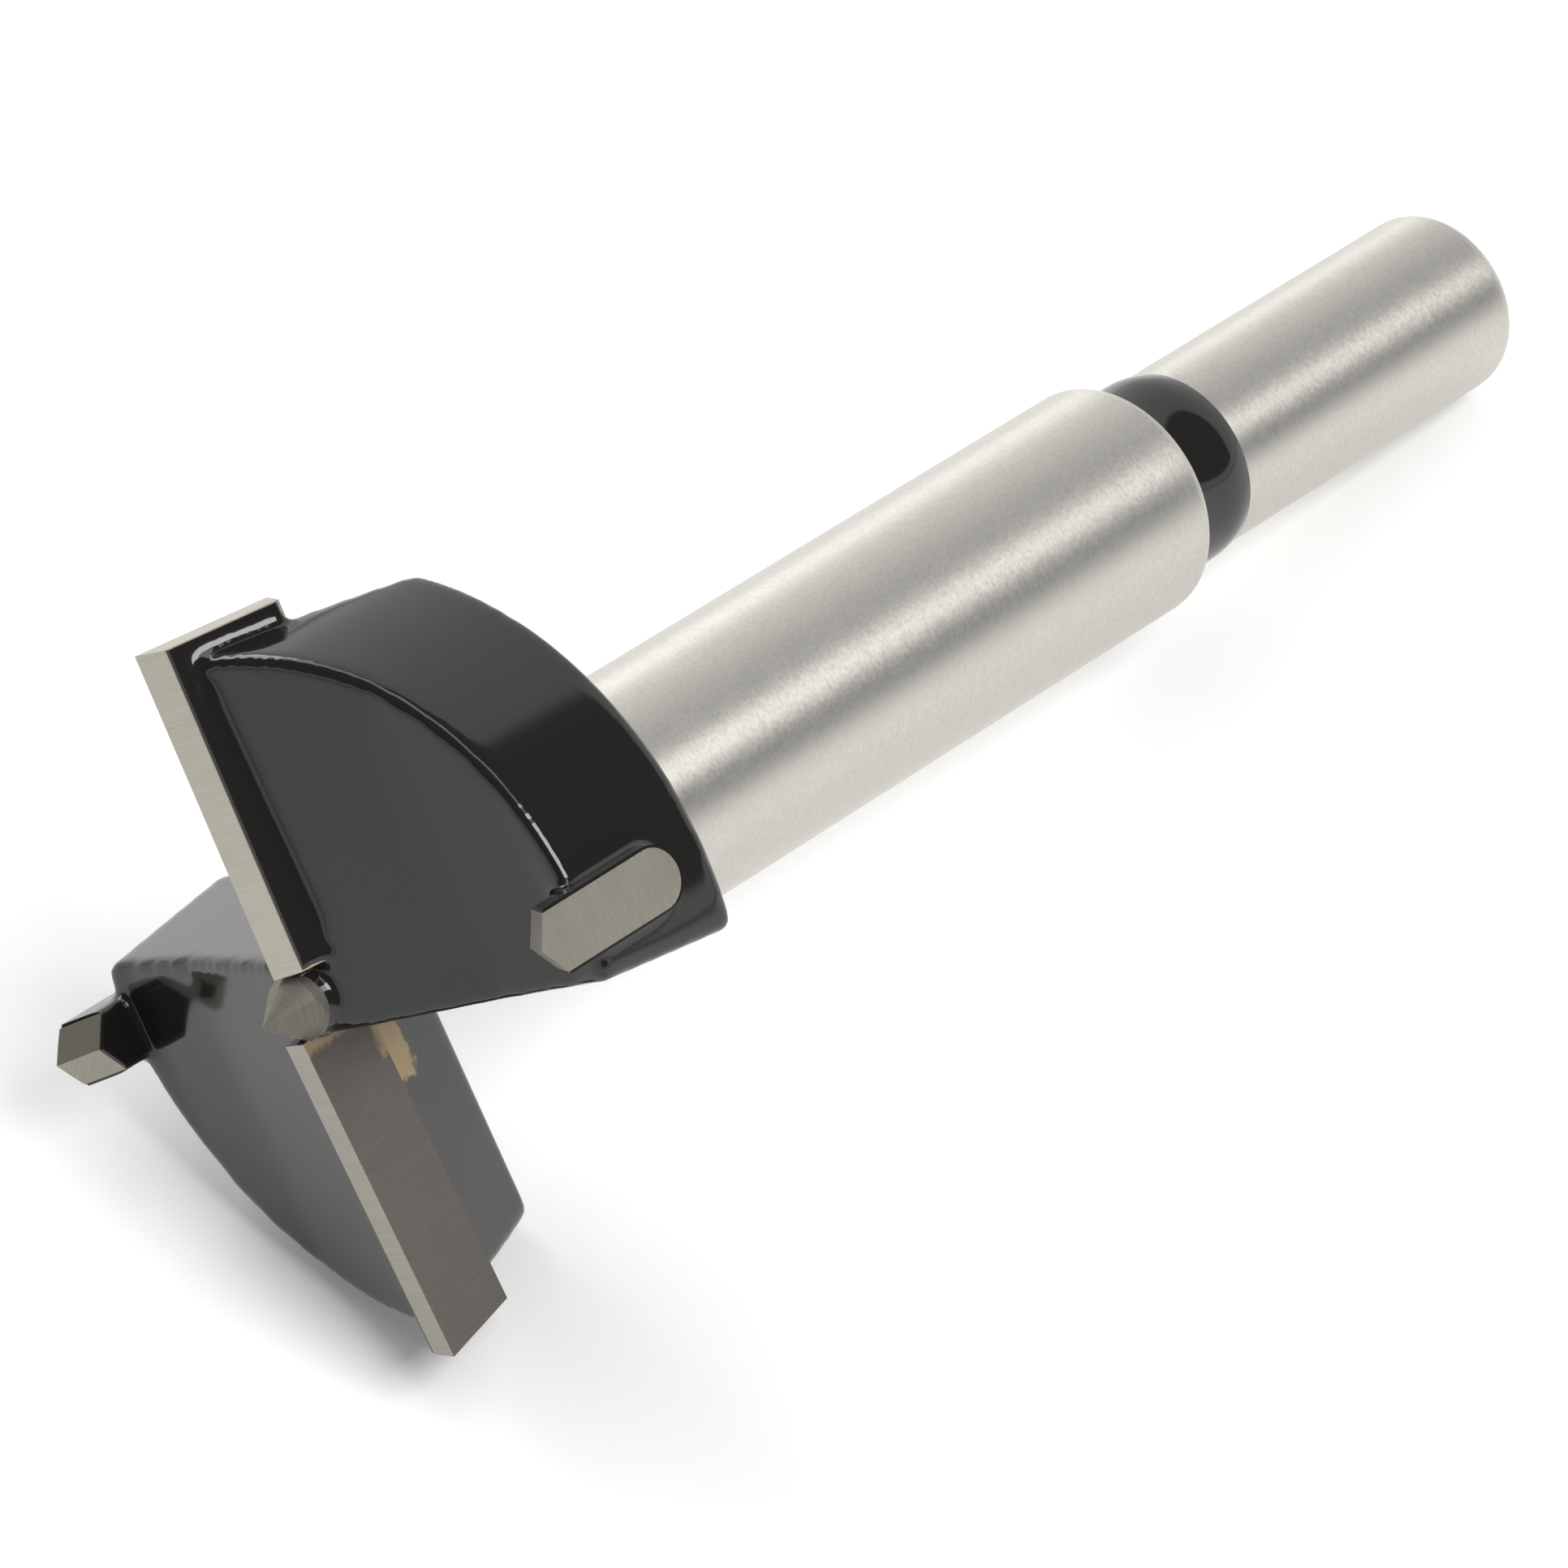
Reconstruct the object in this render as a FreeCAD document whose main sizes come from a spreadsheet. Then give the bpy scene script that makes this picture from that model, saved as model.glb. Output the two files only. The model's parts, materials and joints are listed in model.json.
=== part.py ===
import FreeCAD, Part
import math
import os
import Sketcher

# A carbide tipped forstner bit for 35 mm hinge cups, in millimetres.
# The steel body is one turned piece: a head with two wings, a round shaft and a thinner shank.
# Two carbide plates cut the floor of the hole, and two carbide spurs score its rim.
#
# Every piece is drawn in the bit's own frame, and all of them are then laid down together.
# In that frame Z is the axis and points out of the tip, and zero is at the outer corners of the
# cutting edges. X runs along the first cutting edge, and the bit turns from X towards Y as it cuts.

SIZES = [
    ("cut_diameter", 35.0, "hole that the bit bores"),
    ("head_clearance", 1.1, "wall of the hole to the rim of the steel head"),
    ("head_depth", 12.1, "cutting corners to the rear face of the head"),
    ("shaft_diameter", 12.0, "round shaft behind the head"),
    ("shaft_end", 60.0, "cutting corners to the rear face of the shaft"),
    ("shaft_round", 0.9, "rounding of the rear edge of the shaft"),
    ("least_land", 0.1, "narrowest flat between that rounding and the shank"),
    ("shank_diameter", 9.5, "shank for the chuck"),
    ("shank_end", 86.4, "cutting corners to the end of the shank"),
    ("shank_round", 1.1, "rounding of the end of the shank"),
    ("point_diameter", 3.2, "centre point below its cone"),
    ("point_rise", 2.2, "apex of the centre point above the cutting corners"),
    ("rake_angle", 22.0, "lean of a cutting face away from the axis"),
    ("relief_angle", 12.0, "fall of the ground strip behind a cutting edge"),
    ("plate_height", 6.8, "cutting edge to the rear edge of a plate"),
    ("plate_thickness", 1.4, "thickness of a plate"),
    ("plate_proud", 0.6, "face of a plate in front of the gullet wall"),
    ("plate_rise", 0.45, "inner end of a cutting edge above its outer corner"),
    ("side_clearance", 6.0, "clearance angle at the outer end of a plate"),
    ("wing_step", 1.2, "cutting corners down to the steel behind a plate"),
    ("ramp_start", 0.1, "side of the centre point to the start of the slope on a wing"),
    ("ramp_angle", 13.3, "slope of the top of a wing behind its plate"),
    ("ramp_ease", 2.4, "half the width of the facet that eases the slope into the flat"),
    ("wing_drop", 3.65, "cutting corners down to the flat of a wing"),
    ("trail_offset", 2.1, "axis to the trailing wall, at the height of the flat"),
    ("trail_sweep", 3.3, "sweep of the trailing wall in plan"),
    ("trail_tilt", 7.2, "lean of the trailing wall away from the axis"),
    ("runout_radius", 15.0, "hollow that a gullet runs out with along the shaft"),
    ("corner_round", 0.5, "rounding of the upright corners of the head"),
    ("rim_round", 0.4, "rounding of the rear edge of the head"),
    ("spur_width", 2.85, "width of a spur along the rim"),
    ("spur_bite", 0.85, "depth of a spur's slot in the rim of the head"),
    ("spur_rise", 0.2, "ridge of a spur above the cutting corners"),
    ("spur_seat", 9.0, "cutting corners to the rounded rear end of a spur"),
    ("spur_slope", 34.0, "slope of the facets on each side of a spur's ridge"),
    ("spur_fall", 30.0, "fall of a spur's ridge towards the axis"),
    ("lying_roll", 141.5, "turn from the first cutting edge to the side that the bit lies on"),
]
NAMES = {alias for alias, number, meaning in SIZES}
WINGS = 2
FULL_TURN = 360.0
THROUGH_ALL = 1

document = FreeCAD.newDocument("ForstnerBit")
sheet = document.addObject("Spreadsheet::Sheet", "Sizes")
for row, (alias, number, meaning) in enumerate(SIZES, start=1):
    sheet.set("A%d" % row, alias)
    sheet.set("B%d" % row, str(number))
    sheet.set("C%d" % row, meaning)
    sheet.setAlias("B%d" % row, alias)
document.recompute()


def size(alias):
    """Number in one cell of the sheet."""
    return float(getattr(sheet, alias))


def bound(text):
    """The expression with each size named as a cell of the sheet."""
    pieces = []
    word = ""
    for letter in text + " ":
        if letter.isalnum() or letter in "_.":
            word += letter
        else:
            pieces.append("Sizes." + word if word in NAMES else word)
            pieces.append(letter)
            word = ""
    return "".join(pieces).strip()


# Helpers for bodies and sketches

def origin_feature(body, role):
    """A plane or an axis of the body's own origin."""
    for feature in body.Origin.OriginFeatures:
        if feature.Role == role:
            return feature
    raise RuntimeError("no such origin feature: " + role)


def new_body(name):
    """An empty body whose label names its file."""
    body = document.addObject("PartDesign::Body", name)
    body.Label = name
    return body


def new_sketch(body, name, plane, lift="0"):
    """A sketch on one of the body's own planes, lifted off it along the normal."""
    sketch = body.newObject("Sketcher::SketchObject", name)
    sketch.AttachmentSupport = [(origin_feature(body, plane), "")]
    sketch.MapMode = "FlatFace"
    sketch.setExpression("AttachmentOffset.Base.z", bound(lift))
    return sketch


def hold(sketch, edge, end, corner):
    """Hold one end of an edge at a corner given by two expressions."""
    for kind, text in zip(("DistanceX", "DistanceY"), corner):
        index = sketch.addConstraint(Sketcher.Constraint(kind, -1, 1, edge, end, 1.0))
        sketch.setExpression("Constraints[%d]" % index, bound(text))


def draw_outline(sketch, corners, sags=None):
    """Closed outline through corners, each a pair of expressions.

    sags gives, for a corner that an arc leaves, the height of that arc's centre. Such an arc
    hangs below its chord, and the edges on each side of it are straight.
    """
    sags = sags or {}
    count = len(corners)
    lines = {}
    for index in range(count):
        if index in sags:
            continue
        turn = 2 * math.pi * index / count
        start = FreeCAD.Vector(math.cos(turn), math.sin(turn), 0)
        end = FreeCAD.Vector(math.cos(turn + 1), math.sin(turn + 1), 0)
        lines[index] = sketch.addGeometry(Part.LineSegment(start, end))
        hold(sketch, lines[index], 1, corners[index])
    for index, line in lines.items():
        following = (index + 1) % count
        if following in lines:
            sketch.addConstraint(Sketcher.Constraint("Coincident", line, 2, lines[following], 1))
        else:
            hold(sketch, line, 2, corners[following])
    document.recompute()
    for index, height in sags.items():
        draw_sag(sketch, lines[(index - 1) % count], lines[(index + 1) % count], height)
    document.recompute()
    return sketch


def draw_sag(sketch, before, after, height):
    """Arc that hangs between the end of one line and the start of the next."""
    start = sketch.Geometry[before].EndPoint
    end = sketch.Geometry[after].StartPoint
    middle = (start + end) * 0.5
    radius = start.distanceToPoint(end) / 2
    circle = Part.Circle(middle, FreeCAD.Vector(0, 0, 1), radius)
    arc = sketch.addGeometry(Part.ArcOfCircle(circle, math.pi, 2 * math.pi))
    left, right = (before, 2), (after, 1)
    if start.x > end.x:
        left, right = right, left
    sketch.addConstraint(Sketcher.Constraint("Coincident", arc, 1, *left))
    sketch.addConstraint(Sketcher.Constraint("Coincident", arc, 2, *right))
    index = sketch.addConstraint(Sketcher.Constraint("DistanceY", -1, 1, arc, 3, 1.0))
    sketch.setExpression("Constraints[%d]" % index, bound(height))


# Helpers for features

def turn_profile(body, kind, name, sketch):
    """Revolution or Groove of a profile about the bit's axis."""
    feature = body.newObject("PartDesign::" + kind, name)
    feature.Profile = sketch
    feature.ReferenceAxis = (sketch, ["V_Axis"])
    feature.Refine = False
    feature.Angle = FULL_TURN
    document.recompute()
    return feature


def slanted(body, kind, name, sketch, way, depth, sides="One side"):
    """Pad or Pocket along a slanted way, given by three expressions, for a depth off the sketch."""
    feature = body.newObject("PartDesign::" + kind, name)
    feature.Profile = sketch
    feature.SideType = sides
    feature.Refine = False
    feature.UseCustomVector = True
    feature.AlongSketchNormal = True
    for axis, text in zip("xyz", way):
        feature.setExpression("Direction." + axis, bound(text))
    feature.setExpression("Length", bound(depth))
    document.recompute()
    return feature


def pocket_across(body, name, sketch, width):
    """Pocket of a given width, half of it on each side of its sketch."""
    feature = body.newObject("PartDesign::Pocket", name)
    feature.Profile = sketch
    feature.SideType = "Symmetric"
    feature.setExpression("Length", bound(width))
    feature.Refine = False
    document.recompute()
    return feature


def repeat_on_wings(body, name, features):
    """The same features on every wing."""
    pattern = body.newObject("PartDesign::PolarPattern", name)
    pattern.Originals = features
    pattern.Refine = False
    pattern.Axis = (origin_feature(body, "Z_Axis"), [""])
    pattern.Angle = FULL_TURN
    pattern.Occurrences = WINGS
    body.Tip = pattern
    document.recompute()
    return pattern


def round_edges(body, name, radius, wanted):
    """Fillet of the edges of the body's tip that a test picks out."""
    base = body.Tip
    picked = ["Edge%d" % (index + 1) for index, edge in enumerate(base.Shape.Edges) if wanted(edge)]
    if not picked:
        raise RuntimeError("no edge to round for " + name)
    fillet = body.newObject("PartDesign::Fillet", name)
    fillet.Base = (base, picked)
    fillet.setExpression("Radius", bound(radius))
    body.Tip = fillet
    document.recompute()
    return fillet


# Places and outlines that two pieces share

HEAD_RADIUS = "(cut_diameter / 2 - head_clearance)"
SPUR_INNER = "(cut_diameter / 2 - head_clearance - spur_bite)"
RAKE_LINE = ("-plate_height * sin(rake_angle)", "-plate_height * cos(rake_angle)")
PLATE_BACK = ("-plate_thickness * cos(rake_angle)", "plate_thickness * sin(rake_angle)")
STRIP = "plate_thickness / (cos(rake_angle) * (1 - tan(relief_angle) * tan(rake_angle)))"


def plate_prism(body, kind, name):
    """Pad or Pocket of a plate's form: face, rear end, back and ground strip.

    The section stands at the cutting corner and runs inwards, where the edge is a little higher.
    """
    sketch = new_sketch(body, name + "_section", "YZ_Plane", "cut_diameter / 2")
    corners = [
        ("0", "0"),
        RAKE_LINE,
        (RAKE_LINE[0] + " + " + PLATE_BACK[0], RAKE_LINE[1] + " + " + PLATE_BACK[1]),
        ("-" + STRIP, "-" + STRIP + " * tan(relief_angle)"),
    ]
    draw_outline(sketch, corners)
    length = "cut_diameter / 2 - point_diameter / 2"
    way = ("-(" + length + ")", "0", "plate_rise")
    return slanted(body, kind, name, sketch, way, length)


def spur_outline(sketch, top):
    """Outline of a spur seen from outside, with straight sides and a half round rear end."""
    rear = "-(spur_seat - spur_width / 2)"
    corners = [
        ("-spur_width / 2", top),
        ("-spur_width / 2", rear),
        ("spur_width / 2", rear),
        ("spur_width / 2", top),
    ]
    return draw_outline(sketch, corners, sags={1: rear})


# The steel body

def cut_gullet(body):
    """Open space between two wings, right through the head.

    One wall runs in front of a plate and leans as the plate does. The other is the trailing
    wall of the next wing. The plan is drawn at the top and runs down along their corner.
    """
    sketch = new_sketch(body, "gullet_plan", "XY_Plane", "-wing_step")
    wall = "(wing_step * tan(rake_angle) + plate_proud / cos(rake_angle))"
    lean = "(trail_offset - (wing_drop - wing_step) * tan(trail_tilt))"
    reach = "cut_diameter"
    corners = [
        ("-" + lean + " + " + wall + " * tan(trail_sweep)", wall),
        ("-" + reach, wall),
        ("-" + reach, "-" + reach),
        ("-" + lean + " - " + reach + " * tan(trail_sweep)", "-" + reach),
    ]
    draw_outline(sketch, corners)
    way = ("tan(rake_angle) * tan(trail_sweep) - tan(trail_tilt)", "tan(rake_angle)", "-1")
    return slanted(body, "Pocket", "gullet", sketch, way, "head_depth - wing_step")


def cut_runout(body):
    """Hollow in the shaft behind the head, where the cutter of a gullet leaves the steel.

    It starts flush with the trailing wall and curves outwards to the surface of the shaft.
    """
    sketch = new_sketch(body, "runout_profile", "XZ_Plane")
    wall = "(trail_offset + (head_depth - wing_drop) * tan(trail_tilt))"
    side = "(0.55 * shaft_diameter)"
    centre = "(-head_depth + runout_radius * sin(trail_tilt))"
    across = "(" + wall + " + runout_radius * cos(trail_tilt) - " + side + ")"
    corners = [
        ("-" + side, "-head_depth"),
        ("-" + side, centre + " - sqrt(runout_radius ^ 2 - " + across + " ^ 2)"),
        ("-" + wall, "-head_depth"),
    ]
    draw_outline(sketch, corners, sags={1: centre})
    way = ("tan(trail_sweep)", "1", "0")
    return slanted(body, "Pocket", "runout", sketch, way, "2 * " + side, "Symmetric")


def cut_wing_top(body):
    """Top of a wing: it slopes down behind the plate and eases into a flat."""
    sketch = new_sketch(body, "wing_top_profile", "YZ_Plane")
    start = "(point_diameter / 2 + ramp_start)"
    foot = "(" + start + " + (wing_drop - wing_step) / tan(ramp_angle))"
    corners = [
        ("-" + start, "0"),
        ("-cut_diameter", "0"),
        ("-cut_diameter", "-wing_drop"),
        ("-" + foot + " - ramp_ease", "-wing_drop"),
        ("-" + foot + " + ramp_ease", "-wing_drop + ramp_ease * tan(ramp_angle)"),
        ("-" + start, "-wing_step"),
    ]
    draw_outline(sketch, corners)
    return pocket_across(body, "wing_top", sketch, "2 * cut_diameter")


def cut_spur_slot(body):
    """Slot in the rim that a spur is brazed into, open at the top and outwards."""
    sketch = new_sketch(body, "spur_slot_outline", "XZ_Plane", SPUR_INNER)
    spur_outline(sketch, "spur_rise")
    slot = body.newObject("PartDesign::Pocket", "spur_slot")
    slot.Profile = sketch
    slot.Type = THROUGH_ALL
    slot.Reversed = True
    slot.Refine = False
    document.recompute()
    return slot


def turn_blank(body):
    """Centre point, head, shaft and shank as they leave the lathe."""
    sketch = new_sketch(body, "blank_profile", "XZ_Plane")
    corners = [
        ("0", "point_rise"),
        ("0", "-shank_end"),
        ("shank_diameter / 2", "-shank_end"),
        ("shank_diameter / 2", "-shaft_end"),
        ("shaft_diameter / 2", "-shaft_end"),
        ("shaft_diameter / 2", "-head_depth"),
        (HEAD_RADIUS, "-head_depth"),
        (HEAD_RADIUS, "-wing_step"),
        ("point_diameter / 2", "-wing_step"),
        ("point_diameter / 2", "0"),
    ]
    draw_outline(sketch, corners)
    return turn_profile(body, "Revolution", "blank", sketch)


def head_radius():
    """Radius of the rim of the steel head."""
    return size("cut_diameter") / 2 - size("head_clearance")


def is_circle_at(edge, radius, height):
    """True for a full or part circle about the axis."""
    curve = edge.Curve
    if not isinstance(curve, Part.Circle):
        return False
    off_axis = math.hypot(curve.Center.x, curve.Center.y)
    return max(off_axis, abs(curve.Radius - radius), abs(curve.Center.z - height)) < 0.001


def is_upright_corner(edge):
    """True for a corner of the head where a wall of a gullet meets the rim."""
    low, high = edge.BoundBox.ZMin, edge.BoundBox.ZMax
    middle = edge.valueAt((edge.FirstParameter + edge.LastParameter) / 2)
    on_rim = abs(math.hypot(middle.x, middle.y) - head_radius()) < 0.05
    return on_rim and abs(low + size("head_depth")) < 0.001 and high - low > size("rim_round") * 4


def make_bit_body():
    """The steel piece that carries the carbide."""
    body = new_body("bit_body")
    turn_blank(body)
    wing_top = cut_wing_top(body)
    slot = cut_spur_slot(body)
    gullet = cut_gullet(body)
    seat = plate_prism(body, "Pocket", "plate_seat")
    repeat_on_wings(body, "wings", [wing_top, slot, gullet, seat])
    round_edges(body, "shaft_edge",
                "min(shaft_round; (shaft_diameter - shank_diameter) / 2 - least_land)",
                lambda edge: is_circle_at(edge, size("shaft_diameter") / 2, -size("shaft_end")))
    round_edges(body, "shank_edge", "shank_round",
                lambda edge: is_circle_at(edge, size("shank_diameter") / 2, -size("shank_end")))
    round_edges(body, "head_corners", "corner_round", is_upright_corner)
    round_edges(body, "rim_edge", "rim_round",
                lambda edge: is_circle_at(edge, head_radius(), -size("head_depth")))
    repeat_on_wings(body, "runouts", [cut_runout(body)])
    return body


# The carbide pieces

def make_cutting_plate(name):
    """Plate that cuts the floor of the hole, ground to the diameter at its outer end."""
    body = new_body(name)
    plate_prism(body, "Pad", name + "_blank")

    end = new_sketch(body, name + "_end_outline", "XY_Plane")
    reach = "plate_height"
    corners = [
        ("cut_diameter / 2", "0"),
        ("cut_diameter / 2 - " + reach + " * tan(side_clearance)", "-" + reach),
        ("cut_diameter / 2 + " + reach, "-" + reach),
        ("cut_diameter / 2 + " + reach, "0"),
    ]
    draw_outline(end, corners)
    pocket_across(body, name + "_end", end, "4 * plate_height")
    return body


def make_spur(name):
    """Spur that scores the rim of the hole: two facets meet in a ridge that falls inwards."""
    body = new_body(name)
    blank = new_sketch(body, name + "_outline", "XZ_Plane", SPUR_INNER)
    spur_outline(blank, "spur_rise + spur_width")
    pad = body.newObject("PartDesign::Pad", name + "_blank")
    pad.Profile = blank
    pad.setExpression("Length", bound("head_clearance + spur_bite + spur_width"))
    document.recompute()

    tip = new_sketch(body, name + "_tip_outline", "XZ_Plane", "cut_diameter / 2")
    top = "spur_rise + 4 * spur_width"
    corners = [
        ("0", "spur_rise"),
        ("spur_width", "spur_rise - spur_width * tan(spur_slope)"),
        ("spur_width", top),
        ("-spur_width", top),
        ("-spur_width", "spur_rise - spur_width * tan(spur_slope)"),
    ]
    draw_outline(tip, corners)
    way = ("0", "-1", "tan(spur_fall)")
    slanted(body, "Pocket", name + "_facets", tip, way, "4 * spur_width", "Symmetric")

    ring = new_sketch(body, name + "_waste", "XZ_Plane")
    corners = [
        ("cut_diameter / 2", "-spur_seat - spur_width"),
        ("cut_diameter / 2 + 2 * spur_width", "-spur_seat - spur_width"),
        ("cut_diameter / 2 + 2 * spur_width", "spur_rise + 2 * spur_width"),
        ("cut_diameter / 2", "spur_rise + 2 * spur_width"),
    ]
    draw_outline(ring, corners)
    body.Tip = turn_profile(body, "Groove", name + "_land", ring)
    document.recompute()
    return body


# Laying the bit down

def axis_rise():
    """Angle by which the axis rises towards the tip when the bit lies on its rim and its shank.

    The rear edge of the head and the end of the shank touch down. Both are rounded, so each is
    a smaller disc grown by its rounding.
    """
    rim_bend, shank_bend = size("rim_round"), size("shank_round")
    apart = (size("shank_end") - shank_bend) - (size("head_depth") - rim_bend)
    step = (head_radius() - rim_bend) - (size("shank_diameter") / 2 - shank_bend)
    swell = shank_bend - rim_bend
    return math.atan2(step, apart) - math.asin(swell / math.hypot(apart, step))


def laid_turn():
    """Rotation that lays the bit on the rim of its second wing, with its shank towards +X."""
    rise = axis_rise()
    roll = math.radians(size("lying_roll"))
    axis = FreeCAD.Vector(0, 0, 1)
    side = FreeCAD.Vector(math.cos(roll), math.sin(roll), 0)
    up = axis * math.sin(rise) - side * math.cos(rise)
    right = axis * -math.cos(rise) - side * math.sin(rise)
    return FreeCAD.Rotation(right, up.cross(right), up, "ZXY").inverted()


def place_all(pieces):
    """Lay every piece down together, with the middle of the bit's footprint at the origin."""
    turn = FreeCAD.Placement(FreeCAD.Vector(0, 0, 0), laid_turn())
    for body, wing in pieces:
        share = FreeCAD.Rotation(FreeCAD.Vector(0, 0, 1), FULL_TURN * wing / WINGS)
        body.Placement = turn * FreeCAD.Placement(FreeCAD.Vector(0, 0, 0), share)
    document.recompute()
    box = Part.makeCompound([body.Shape for body, wing in pieces]).optimalBoundingBox(False)
    foot = FreeCAD.Vector(box.Center.x, box.Center.y, box.ZMin)
    for body, wing in pieces:
        body.Placement = FreeCAD.Placement(foot * -1, FreeCAD.Rotation()) * body.Placement
    document.recompute()


def check_features():
    """Stop if any object of the document failed."""
    for item in document.Objects:
        if "Invalid" in item.State or "Error" in item.State:
            raise RuntimeError("feature failed: " + item.Name)


def export(body):
    """Write one piece to a file named after it."""
    shape = body.Shape
    if shape.isNull() or not shape.isValid() or len(shape.Solids) != 1:
        raise RuntimeError("bad solid: " + body.Label)
    shape.exportStep("parts/" + body.Label + ".step")
    print(body.Label, "volume %.1f mm3" % shape.Volume)


pieces = [(make_bit_body(), 0)]
for wing in range(WINGS):
    pieces.append((make_cutting_plate("cutting_plate_%d" % (wing + 1)), wing))
    pieces.append((make_spur("rim_spur_%d" % (wing + 1)), wing))
place_all(pieces)
check_features()
os.makedirs("parts", exist_ok=True)
for body, wing in pieces:
    export(body)
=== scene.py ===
"""A carbide tipped forstner bit: enamelled two-winged head, ground shaft and shank, brazed carbide."""

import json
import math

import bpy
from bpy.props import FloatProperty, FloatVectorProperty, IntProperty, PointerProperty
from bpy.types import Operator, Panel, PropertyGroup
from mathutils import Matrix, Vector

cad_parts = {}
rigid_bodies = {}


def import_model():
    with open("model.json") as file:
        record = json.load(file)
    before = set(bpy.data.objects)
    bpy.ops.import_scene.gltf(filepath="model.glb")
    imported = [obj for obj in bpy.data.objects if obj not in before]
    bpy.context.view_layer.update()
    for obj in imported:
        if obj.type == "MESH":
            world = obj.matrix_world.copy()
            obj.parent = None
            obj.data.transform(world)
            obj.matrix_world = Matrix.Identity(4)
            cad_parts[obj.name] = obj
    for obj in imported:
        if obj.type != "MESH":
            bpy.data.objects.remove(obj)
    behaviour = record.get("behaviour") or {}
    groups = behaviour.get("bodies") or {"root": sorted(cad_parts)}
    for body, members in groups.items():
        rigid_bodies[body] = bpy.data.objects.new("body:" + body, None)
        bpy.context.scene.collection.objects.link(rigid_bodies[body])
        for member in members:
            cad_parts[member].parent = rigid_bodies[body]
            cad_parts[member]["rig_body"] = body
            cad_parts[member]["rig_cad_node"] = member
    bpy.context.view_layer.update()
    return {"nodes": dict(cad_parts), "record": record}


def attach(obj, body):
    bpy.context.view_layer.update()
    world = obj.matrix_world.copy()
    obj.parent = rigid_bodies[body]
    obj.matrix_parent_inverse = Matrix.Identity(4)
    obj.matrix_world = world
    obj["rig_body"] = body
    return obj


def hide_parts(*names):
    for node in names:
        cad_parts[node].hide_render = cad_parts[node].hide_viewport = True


bl_info = {
    "name": "Forstner Bit",
    "version": (1, 0, 0),
    "blender": (4, 5, 0),
    "location": "View3D > Sidebar > Forstner Bit",
    "description": "Enamelled head, ground shaft and brazed carbide of a forstner bit",
    "category": "Add Mesh",
}

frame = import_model()

MM = 0.001
SHANK_MOUNT = frame["record"]["mounts"][0]
BODY_NODE = "bit_body"
PLATES = ("cutting_plate_1", "cutting_plate_2")
SPURS = ("rim_spur_1", "rim_spur_2")

MERGE_DISTANCE = 0.001 * MM     # corners closer than this are one corner

# Edges that bend by more than these degrees are shaded sharp
TURNED_EDGE = 35
ENAMEL_EDGE = 50
POINT_EDGE = 12

POINT_FLATS = (20, 72)          # turns of the flats on the centre point, in degrees
PLATE_PAINTED_LIGHT = (1.12, 0.72)      # painted light: brightness of the last grinding on each plate, the first painted lighter and the second darker for how the lamps fall on them
SPUR_TONES = (0.75, 0.95)       # brightness of a spur where it was ground last, and elsewhere
POINT_TONE = 0.55               # brightness of the centre point
SCRATCH_TONE = 0.84             # brightness inside the scratches of a metal

# Grinding lines: scale of their pattern along the cutting edge, ahead of it and along the axis
PLATE_LINES = (15000.0, 260.0, 260.0)
SPUR_LINES = (600.0, 600.0, 11000.0)
POINT_LINES = (260.0, 260.0, 12000.0)

# Braze on the gullet wall behind a plate, in millimetres: it starts, is full, fades and ends
WALL_OUT = (3.0, 3.3, 6.0, 6.3)
WALL_DEEP = (-8.3, -8.0, -6.5, -6.2)
WALL_AHEAD = (-5.2, -4.9, -1.2, -1.0)

# Braze on a plate, in millimetres: it fades from the first number to the second
SEAT_OUT = (2.15, 2.40)
CORNER_OUT = (4.3, 4.7)
CORNER_DEEP = (-5.6, -5.2)

# Softboxes: direction, distance and sides in metres, brightness of the face
SOFTBOXES = {
    "near_softbox": ((-0.05, -0.60, 0.79), 0.75, (0.44, 0.26), 10.5),
    "far_softbox": ((0.08, 0.84, 0.52), 0.75, (0.50, 0.26), 4.2),
    "top_softbox": ((0.03, 0.156, 0.988), 0.60, (0.20, 0.90), 2.6),
}


# Sizes and colours that a user would change

def length(name, description, millimetres):
    """A length property with a default given in millimetres."""
    return FloatProperty(name=name, description=description, default=millimetres * MM,
                         unit="LENGTH", precision=5)


def angle(name, description, degrees):
    """An angle property with a default given in degrees."""
    return FloatProperty(name=name, description=description, default=math.radians(degrees),
                         subtype="ANGLE")


def colour(name, description, rgb):
    """A colour property, linear."""
    return FloatVectorProperty(name=name, description=description, default=rgb, subtype="COLOR",
                               size=3, min=0.0, max=1.0)


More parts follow.
